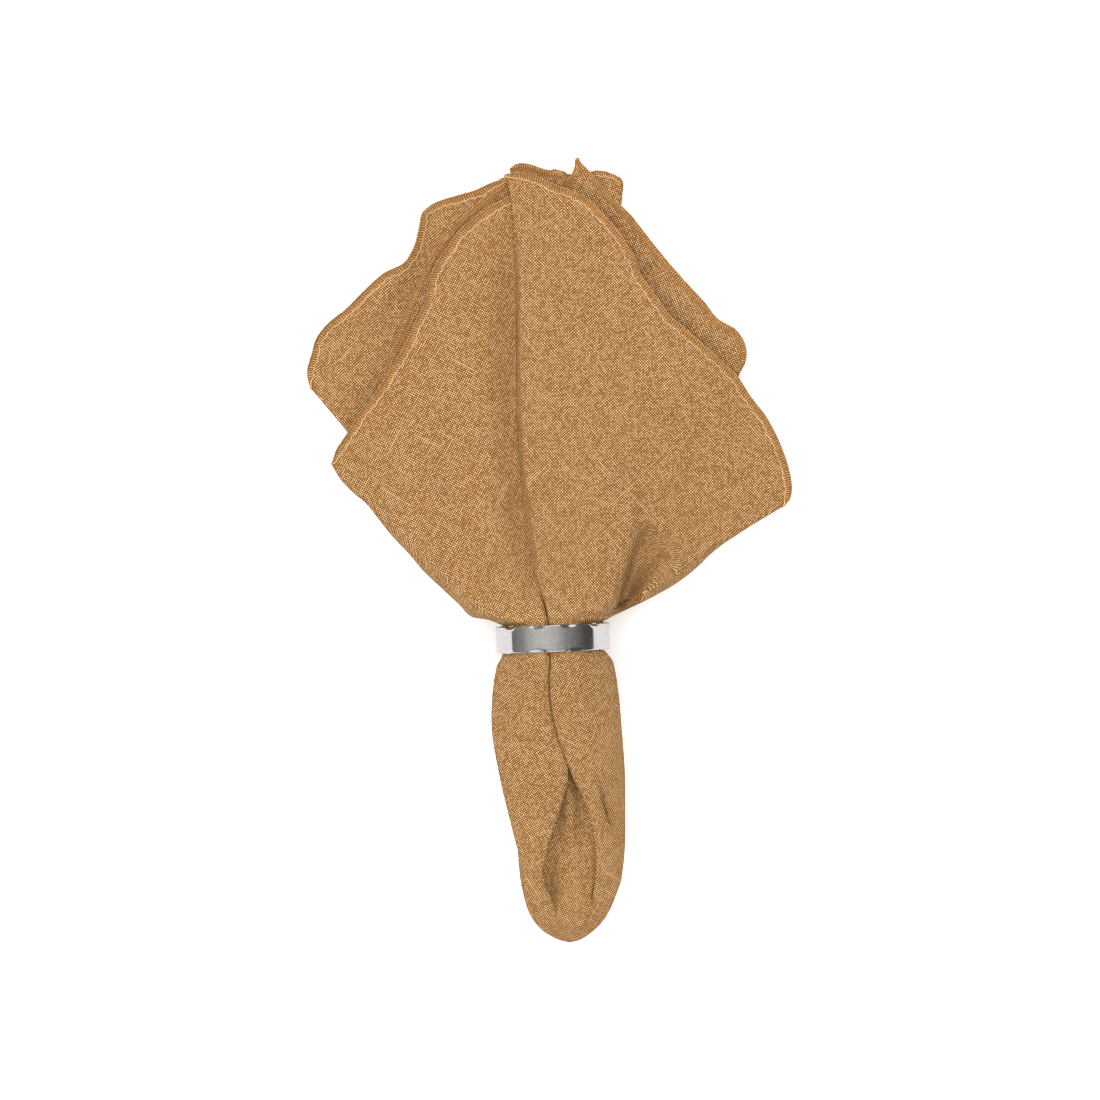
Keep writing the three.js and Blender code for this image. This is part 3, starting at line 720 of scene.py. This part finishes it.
def make_overlock(rows, normal, material):
    """The sewn edge: thread wrapped over the hem, stitch by stitch, a thread that zigzags along the edge
    and a chain of loops along the inner ends of the stitches."""
    edge, inset = rows[-1], rows[-3]
    lift = normal[-1]
    ahead = unit(np.roll(edge, -1, axis=0) - np.roll(edge, 1, axis=0))
    inside = np.cross(ahead, lift)
    agrees = (inside * unit(inset - edge)).sum(axis=1)
    known = np.maximum.accumulate(np.where(np.abs(agrees) > CLEARLY_INSIDE, np.arange(len(edge)), 0))
    inside = unit(np.cross(ahead, lift[known]) * np.sign(agrees[known])[:, None])
    span = range(-TURN_SPAN, TURN_SPAN + 1)
    straight = sum(np.roll(ahead, k, axis=0) for k in span) / len(span)
    inside *= np.linalg.norm(straight, axis=1)[:, None] ** 2
    step = np.linalg.norm(np.roll(edge, -1, axis=0) - edge, axis=1)
    along = np.concatenate([[0], np.cumsum(step)])
    stitches = int(along[-1] / STITCH_PITCH)

    def at(where, inward, up):
        """Points at a length along the edge, a distance inward and a height over the middle."""
        found = []
        for values in (edge, inside, lift):
            looped = np.concatenate([values, values[:1]])
            found.append(np.stack([np.interp(where % along[-1], along, looped[:, k]) for k in range(3)],
                axis=1))
        return found[0] + found[1] * inward[:, None] + unit(found[2]) * up[:, None]

    place = np.arange(stitches) * along[-1] / stitches
    uneven = 1 + 0.09 * np.sin(place * 1.7) + 0.07 * np.sin(place * 0.61 + 1)
    wrap = [
        at(place + lean * STITCH_PITCH, STITCH_REACH * share * uneven, rise + 0 * place)
        for share, rise, lean in STITCH_PATH
    ]
    points, faces = tubes(np.stack(wrap, axis=1), STITCH_RADIUS, 3)
    own = [np.zeros(len(points))]

    half = np.arange(stitches * 2) * along[-1] / (stitches * 2)
    side = np.where(np.arange(len(half)) % 2 == 0, 1, -1)
    edge_thread = at(half, 0.12 + 0 * half, side * 0.2)
    chain = at(half, STITCH_REACH * (1.06 + 0.1 * side) * np.repeat(uneven, 2), 0.5 + 0.2 * side)
    for path, radius, tone in ((edge_thread, 0.3, 0), (chain, CHAIN_RADIUS, 1)):
        more, more_faces = tubes(path[None], radius, 4, closed=True)
        faces += (np.array(more_faces) + len(points)).tolist()
        points = np.concatenate([points, more])
        own.append(np.full(len(more), tone))
    points[:, 2] = np.maximum(points[:, 2], 0.02)
    overlock = mesh_object("hem_overlock", points, faces, material)
    add_values(overlock, "chain", np.concatenate(own))
    return overlock


def make_ring(material):
    """The band: its profile turned about an axis along Y.

    The profile is a rectangle with a quarter of an ellipse at each corner. At the outer corners the
    ellipse grows at the dents by a power of a cosine of the angle round the band, and becomes a
    straight slope there.
    """
    angle = np.arange(RING_TURNS)[:, None] * 2 * math.pi / RING_TURNS
    dents = [
        np.maximum(np.cos(count * (angle - math.radians(first))), 0) ** DENT_POWER
        for count, first in DENTS.values()
    ]
    wide = [RIM_WIDE + DENT_WIDE * dent for dent in dents]
    deep = [RIM_DEEP + DENT_DEEP * dent for dent in dents]
    straight = [np.minimum(2 * dent, 1) for dent in dents]
    plain = RIM_DEEP + 0 * angle
    inner, half = RING_RADIUS - RING_WALL, RING_LENGTH / 2
    sweep = np.radians(np.linspace(0, 90, 7))
    radius, along = [], []
    for start, centre, side, reach, low, flat in (
        (-90, RING_RADIUS - deep[1], -1, wide[1], deep[1], straight[1]),
        (0, RING_RADIUS - deep[0], 1, wide[0], deep[0], straight[0]),
        (90, inner + plain, 1, plain, plain, 0), (180, inner + plain, -1, plain, plain, 0),
    ):
        turn = math.radians(start) + sweep
        waves = (np.cos(turn), np.sin(turn))
        cos, sin = (mix(wave, mix(wave[0], wave[-1], sweep / sweep[-1]), flat) for wave in waves)
        radius.append(centre + low * cos + 0 * angle)
        along.append(side * (half - reach) + reach * sin + 0 * angle)
        if start == -90:
            face = np.linspace(0.1, 0.9, 5)
            radius.append(RING_RADIUS + 0 * angle * face)
            along.append(mix(wide[1] - half, half - wide[0], face))
    radius, along = np.concatenate(radius, axis=1), np.concatenate(along, axis=1)
    x, z = radius * np.sin(angle), radius * np.cos(angle)
    cos, sin = math.cos(RING_TURN), math.sin(RING_TURN)
    points = np.stack([RING_X + x * cos - along * sin, RING_Y + x * sin + along * cos, RING_RADIUS + z],
        axis=2)
    index = np.arange(radius.size).reshape(radius.shape)
    ahead = np.roll(index, -1, axis=0)
    quads = np.stack([index, ahead, np.roll(ahead, -1, axis=1), np.roll(index, -1, axis=1)], axis=-1)
    return mesh_object("polished_ring", points.reshape(-1, 3), quads.reshape(-1, 4)[:, ::-1], material)


def colour(hex_value):
    """An sRGB hex colour as the linear values that shaders use."""
    values = np.array([int(hex_value[k:k + 2], 16) / 255 for k in (1, 3, 5)])
    linear = np.where(values <= 0.04045, values / 12.92, ((values + 0.055) / 1.055) ** 2.4)
    return (*linear.tolist(), 1.0)


def add_node(tree, kind, inputs=None, **settings):
    """Adds a node. settings are its properties, inputs its sockets: each a value or another's socket."""
    made = tree.nodes.new(kind)
    for name, value in settings.items():
        setattr(made, name, value)
    for name, value in (inputs or {}).items():
        if isinstance(value, bpy.types.NodeSocket):
            tree.links.new(value, made.inputs[name])
        else:
            made.inputs[name].default_value = value
    return made


def new_material(name, **sockets):
    """A material with one principled shader and its sockets' values."""
    material = bpy.data.materials.new(name)
    material.use_nodes = True
    shader = material.node_tree.nodes["Principled BSDF"]
    for socket, value in sockets.items():
        shader.inputs[socket.replace("_", " ")].default_value = value
    return material, material.node_tree, shader


def linen_material():
    """Plain-woven flax linen, matt. Threads go over and under where the sines of the two directions,
    multiplied, are above or below 0, and the size of that product is how far a thread stands up. Where
    it is small, between the crossings, the colour darkens: painted shade in the gaps of the weave. Threads
    wander and differ in tone along their length, single crossings differ too, and a few long threads are
    thick and pale. Under the hem's stitches the cloth is darkened by painted shade."""
    material, tree, shader = new_material("plain_woven_linen", Roughness=0.9, Specular_IOR_Level=0.2)

    def maths(operation, a, b=0.0):
        return add_node(tree, "ShaderNodeMath", {0: a, 1: b}, operation=operation).outputs[0]

    def noise(x, y, seed, detail=0.0):
        vector = add_node(tree, "ShaderNodeCombineXYZ", {0: x, 1: y, 2: seed}).outputs[0]
        return add_node(tree, "ShaderNodeTexNoise",
            {"Vector": vector, "Scale": 1.0, "Detail": detail}).outputs[0]

    def ramp(value, low, high):
        return add_node(tree, "ShaderNodeMapRange", {0: value, 1: low, 2: high},
            interpolation_type="SMOOTHSTEP").outputs[0]

    def mixed(share, low, high):
        return add_node(tree, "ShaderNodeMix", {0: share, 6: low, 7: high}, data_type="RGBA").outputs[2]

    uv = add_node(tree, "ShaderNodeUVMap", uv_map="weave").outputs["UV"]
    threads = add_node(tree, "ShaderNodeVectorMath", {0: uv, 1: (THREADS_PER_UNIT,) * 3},
        operation="MULTIPLY").outputs[0]
    axes = add_node(tree, "ShaderNodeSeparateXYZ", {0: threads}).outputs
    places, cells, waves, tones, pale = [], [], [], [], []
    for k in (0, 1):
        along = axes[1 - k]
        drift = noise(maths("MULTIPLY", axes[k], 0.14), maths("MULTIPLY", along, 0.02), 5.0 + 9 * k)
        places.append(maths("ADD", axes[k], maths("MULTIPLY", drift, THREAD_DRIFT)))
        cells.append(maths("FLOOR", places[k]))
        waves.append(maths("SINE", maths("MULTIPLY", places[k], math.pi)))
        tones.append(noise(maths("MULTIPLY", cells[k], 1.37), maths("MULTIPLY", along, 0.06), 31.0 * k,
            1.0))
        line = noise(maths("MULTIPLY", cells[k], 2.13), maths("MULTIPLY", along, 0.03), 70.0 + 13 * k)
        shown = maths("POWER", maths("ABSOLUTE", waves[k]), 1.6)
        pale.append(maths("MULTIPLY", ramp(line, *PALE_FROM[k]), shown))
    weave = maths("MULTIPLY", waves[0], waves[1])
    over = ramp(weave, -0.2, 0.2)
    raised = maths("POWER", maths("ABSOLUTE", weave), 1.1)
    cell = add_node(tree, "ShaderNodeCombineXYZ", {0: cells[0], 1: cells[1]}).outputs[0]
    single = add_node(tree, "ShaderNodeTexWhiteNoise", {"Vector": cell},
        noise_dimensions="2D").outputs["Value"]
    tone = add_node(tree, "ShaderNodeMix", {0: over, 2: tones[1], 3: tones[0]}).outputs[0]
    tone = maths("MULTIPLY", maths("SUBTRACT", tone, 0.5), THREAD_CONTRAST)
    tone = maths("ADD", maths("ADD", tone, 0.5),
        maths("MULTIPLY", maths("SUBTRACT", single, 0.5), SINGLE_CROSSING))
    slub = maths("MAXIMUM", pale[0], pale[1])

    thread = mixed(ramp(tone, 0.0, 1.0), colour("#bf874b"), colour("#ffd49a"))
    # Painted shade: where the threads lie low between crossings (raised near 0) the colour goes to the dark
    # brown #5a3511, shade painted into the gaps of the weave.
    woven = mixed(raised, colour("#5a3511"), thread)
    lit = mixed(maths("MULTIPLY", slub, 0.5), woven, colour("#f6cd98"))
    # Painted shade under the hem's stitches: where clear_of_hem is 0, on the hem's rows, the cloth's colour
    # is mixed to the darker #946736.
    clear = add_node(tree, "ShaderNodeAttribute", attribute_name="clear_of_hem").outputs["Fac"]
    with_painted_hem_shade = mixed(clear, colour("#946736"), lit)
    tree.links.new(with_painted_hem_shade, shader.inputs["Base Color"])
    height = maths("ADD", raised, maths("MULTIPLY", slub, 0.6))
    bump = add_node(tree, "ShaderNodeBump", {"Strength": 0.5, "Distance": 0.0003, "Height": height})
    tree.links.new(bump.outputs[0], shader.inputs["Normal"])
    return material


def thread_material():
    """Spun sewing thread, matt, with light and dark turns. The chain on the inner side is lighter."""
    material, tree, shader = new_material("spun_sewing_thread", Roughness=0.75, Sheen_Weight=0.1)
    place = add_node(tree, "ShaderNodeTexCoord").outputs["Object"]
    noise = add_node(tree, "ShaderNodeTexNoise",
        {"Vector": place, "Scale": YARN_TURNS_PER_MM / MM, "Detail": 1.0}).outputs[0]
    share = add_node(tree, "ShaderNodeMapRange", {0: noise, 1: 0.35, 2: 0.65}).outputs[0]
    sewn = add_node(tree, "ShaderNodeMix", {0: share, 6: colour("#b5834a"), 7: colour("#dcab72")},
        data_type="RGBA")
    chain = add_node(tree, "ShaderNodeAttribute", attribute_name="chain").outputs["Fac"]
    tone = add_node(tree, "ShaderNodeMix", {0: chain, 6: sewn.outputs[2], 7: colour("#e6bf8c")},
        data_type="RGBA")
    tree.links.new(tone.outputs[2], shader.inputs["Base Color"])
    bump = add_node(tree, "ShaderNodeBump", {"Strength": 0.3, "Distance": 0.0001, "Height": noise})
    tree.links.new(bump.outputs[0], shader.inputs["Normal"])
    return material


def ring_material():
    """Stainless steel, buffed bright: a mirror with a faint satin mottling left by the mop."""
    material, tree, shader = new_material("buffed_stainless_steel", Metallic=1.0)
    place = add_node(tree, "ShaderNodeTexCoord").outputs["Object"]
    grains = add_node(tree, "ShaderNodeTexNoise",
        {"Vector": place, "Scale": STEEL_GRAINS_PER_MM / MM, "Detail": 2.0}).outputs[0]
    patches = add_node(tree, "ShaderNodeTexNoise",
        {"Vector": place, "Scale": STEEL_PATCHES_PER_MM / MM, "Detail": 2.0}).outputs[0]
    tint = add_node(tree, "ShaderNodeMix", {0: grains, 6: colour("#9d9a98"), 7: colour("#cecac8")},
        data_type="RGBA")
    tree.links.new(tint.outputs[2], shader.inputs["Base Color"])
    rough = add_node(tree, "ShaderNodeMapRange", {0: patches, 1: 0.35, 2: 0.7, 3: 0.05, 4: 0.18}).outputs[0]
    tree.links.new(rough, shader.inputs["Roughness"])
    bump = add_node(tree, "ShaderNodeBump", {"Strength": 0.3, "Distance": 0.00005, "Height": grains})
    tree.links.new(bump.outputs[0], shader.inputs["Normal"])
    return material


def table_material():
    """White translucent acrylic, sanded matt and lit from below, as a table for shadowless pictures is."""
    material, tree, shader = new_material("matt_white_acrylic", Roughness=1.0, Emission_Strength=TABLE_GLOW)
    shader.inputs["Emission Color"].default_value = colour("#ffffff")
    place = add_node(tree, "ShaderNodeTexCoord").outputs["Object"]
    patches = TABLE_PATCHES_PER_MM / MM
    noise = add_node(tree, "ShaderNodeTexNoise", {"Vector": place, "Scale": patches}).outputs[0]
    tint = add_node(tree, "ShaderNodeMix", {0: noise, 6: colour("#f2f2f1"), 7: colour("#f8f8f8")},
        data_type="RGBA")
    tree.links.new(tint.outputs[2], shader.inputs["Base Color"])
    return material


def make_floor():
    """A flat square under everything."""
    side = FLOOR_HALF
    corners = [(-side, -side, FLOOR_Z), (side, -side, FLOOR_Z), (side, side, FLOOR_Z),
        (-side, side, FLOOR_Z)]
    floor = mesh_object("lit_table_floor", corners, [[0, 1, 2, 3]], table_material(), smooth=False)


def make_camera():
    """The camera looks straight down. Its lens is the sensor's width times its height over the view's."""
    data = bpy.data.cameras.new("camera")
    data.sensor_width = SENSOR
    data.lens = SENSOR * CAMERA_HIGH / VIEW_WIDTH
    camera = bpy.data.objects.new("camera", data)
    camera.location = (CAMERA_X * MM, 0, CAMERA_HIGH * MM)
    bpy.context.scene.collection.objects.link(camera)
    bpy.context.scene.camera = camera


def make_lights():
    """Softboxes that face the middle, and a grey room brightest towards one direction."""
    for name, place, size, power in LIGHTS:
        data = bpy.data.lights.new(name, "AREA")
        data.size = size
        data.energy = power
        light = bpy.data.objects.new(name, data)
        light.location = Vector(place) * MM
        light.rotation_euler = (-Vector(place)).to_track_quat("-Z", "Y").to_euler()
        light.visible_camera = False
        light.visible_glossy = name in SEEN_IN_THE_RING
        bpy.context.scene.collection.objects.link(light)
    world = bpy.data.worlds.new("grey_room")
    world.use_nodes = True
    tree = world.node_tree
    way = add_node(tree, "ShaderNodeTexCoord").outputs["Generated"]
    towards = add_node(tree, "ShaderNodeVectorMath", {0: way, 1: SKY_BRIGHT_TOWARDS},
        operation="DOT_PRODUCT")
    sky = add_node(tree, "ShaderNodeValToRGB", {0: towards.outputs["Value"]})
    stops = sky.color_ramp.elements
    for position, _ in SKY[1:-1]:
        stops.new(position)
    for stop, (position, shade) in zip(stops, SKY):
        stop.position = position
        stop.color = colour(shade)
    tree.links.new(sky.outputs[0], tree.nodes["Background"].inputs["Color"])
    bpy.context.scene.world = world
    bpy.context.scene.view_settings.view_transform = "Standard"
    bpy.context.scene.cycles.filter_width = PIXEL_FILTER


make_camera()
make_lights()
make_floor()
napkin, cloth, cloth_normals = make_napkin(linen_material())
overlock = make_overlock(cloth, cloth_normals, thread_material())
ring = make_ring(ring_material())

for piece, node, slot in ((napkin, "napkin", "linen"), (ring, "ring", "steel")):
    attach(piece, "root")
    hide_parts(node)
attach(overlock, "root")
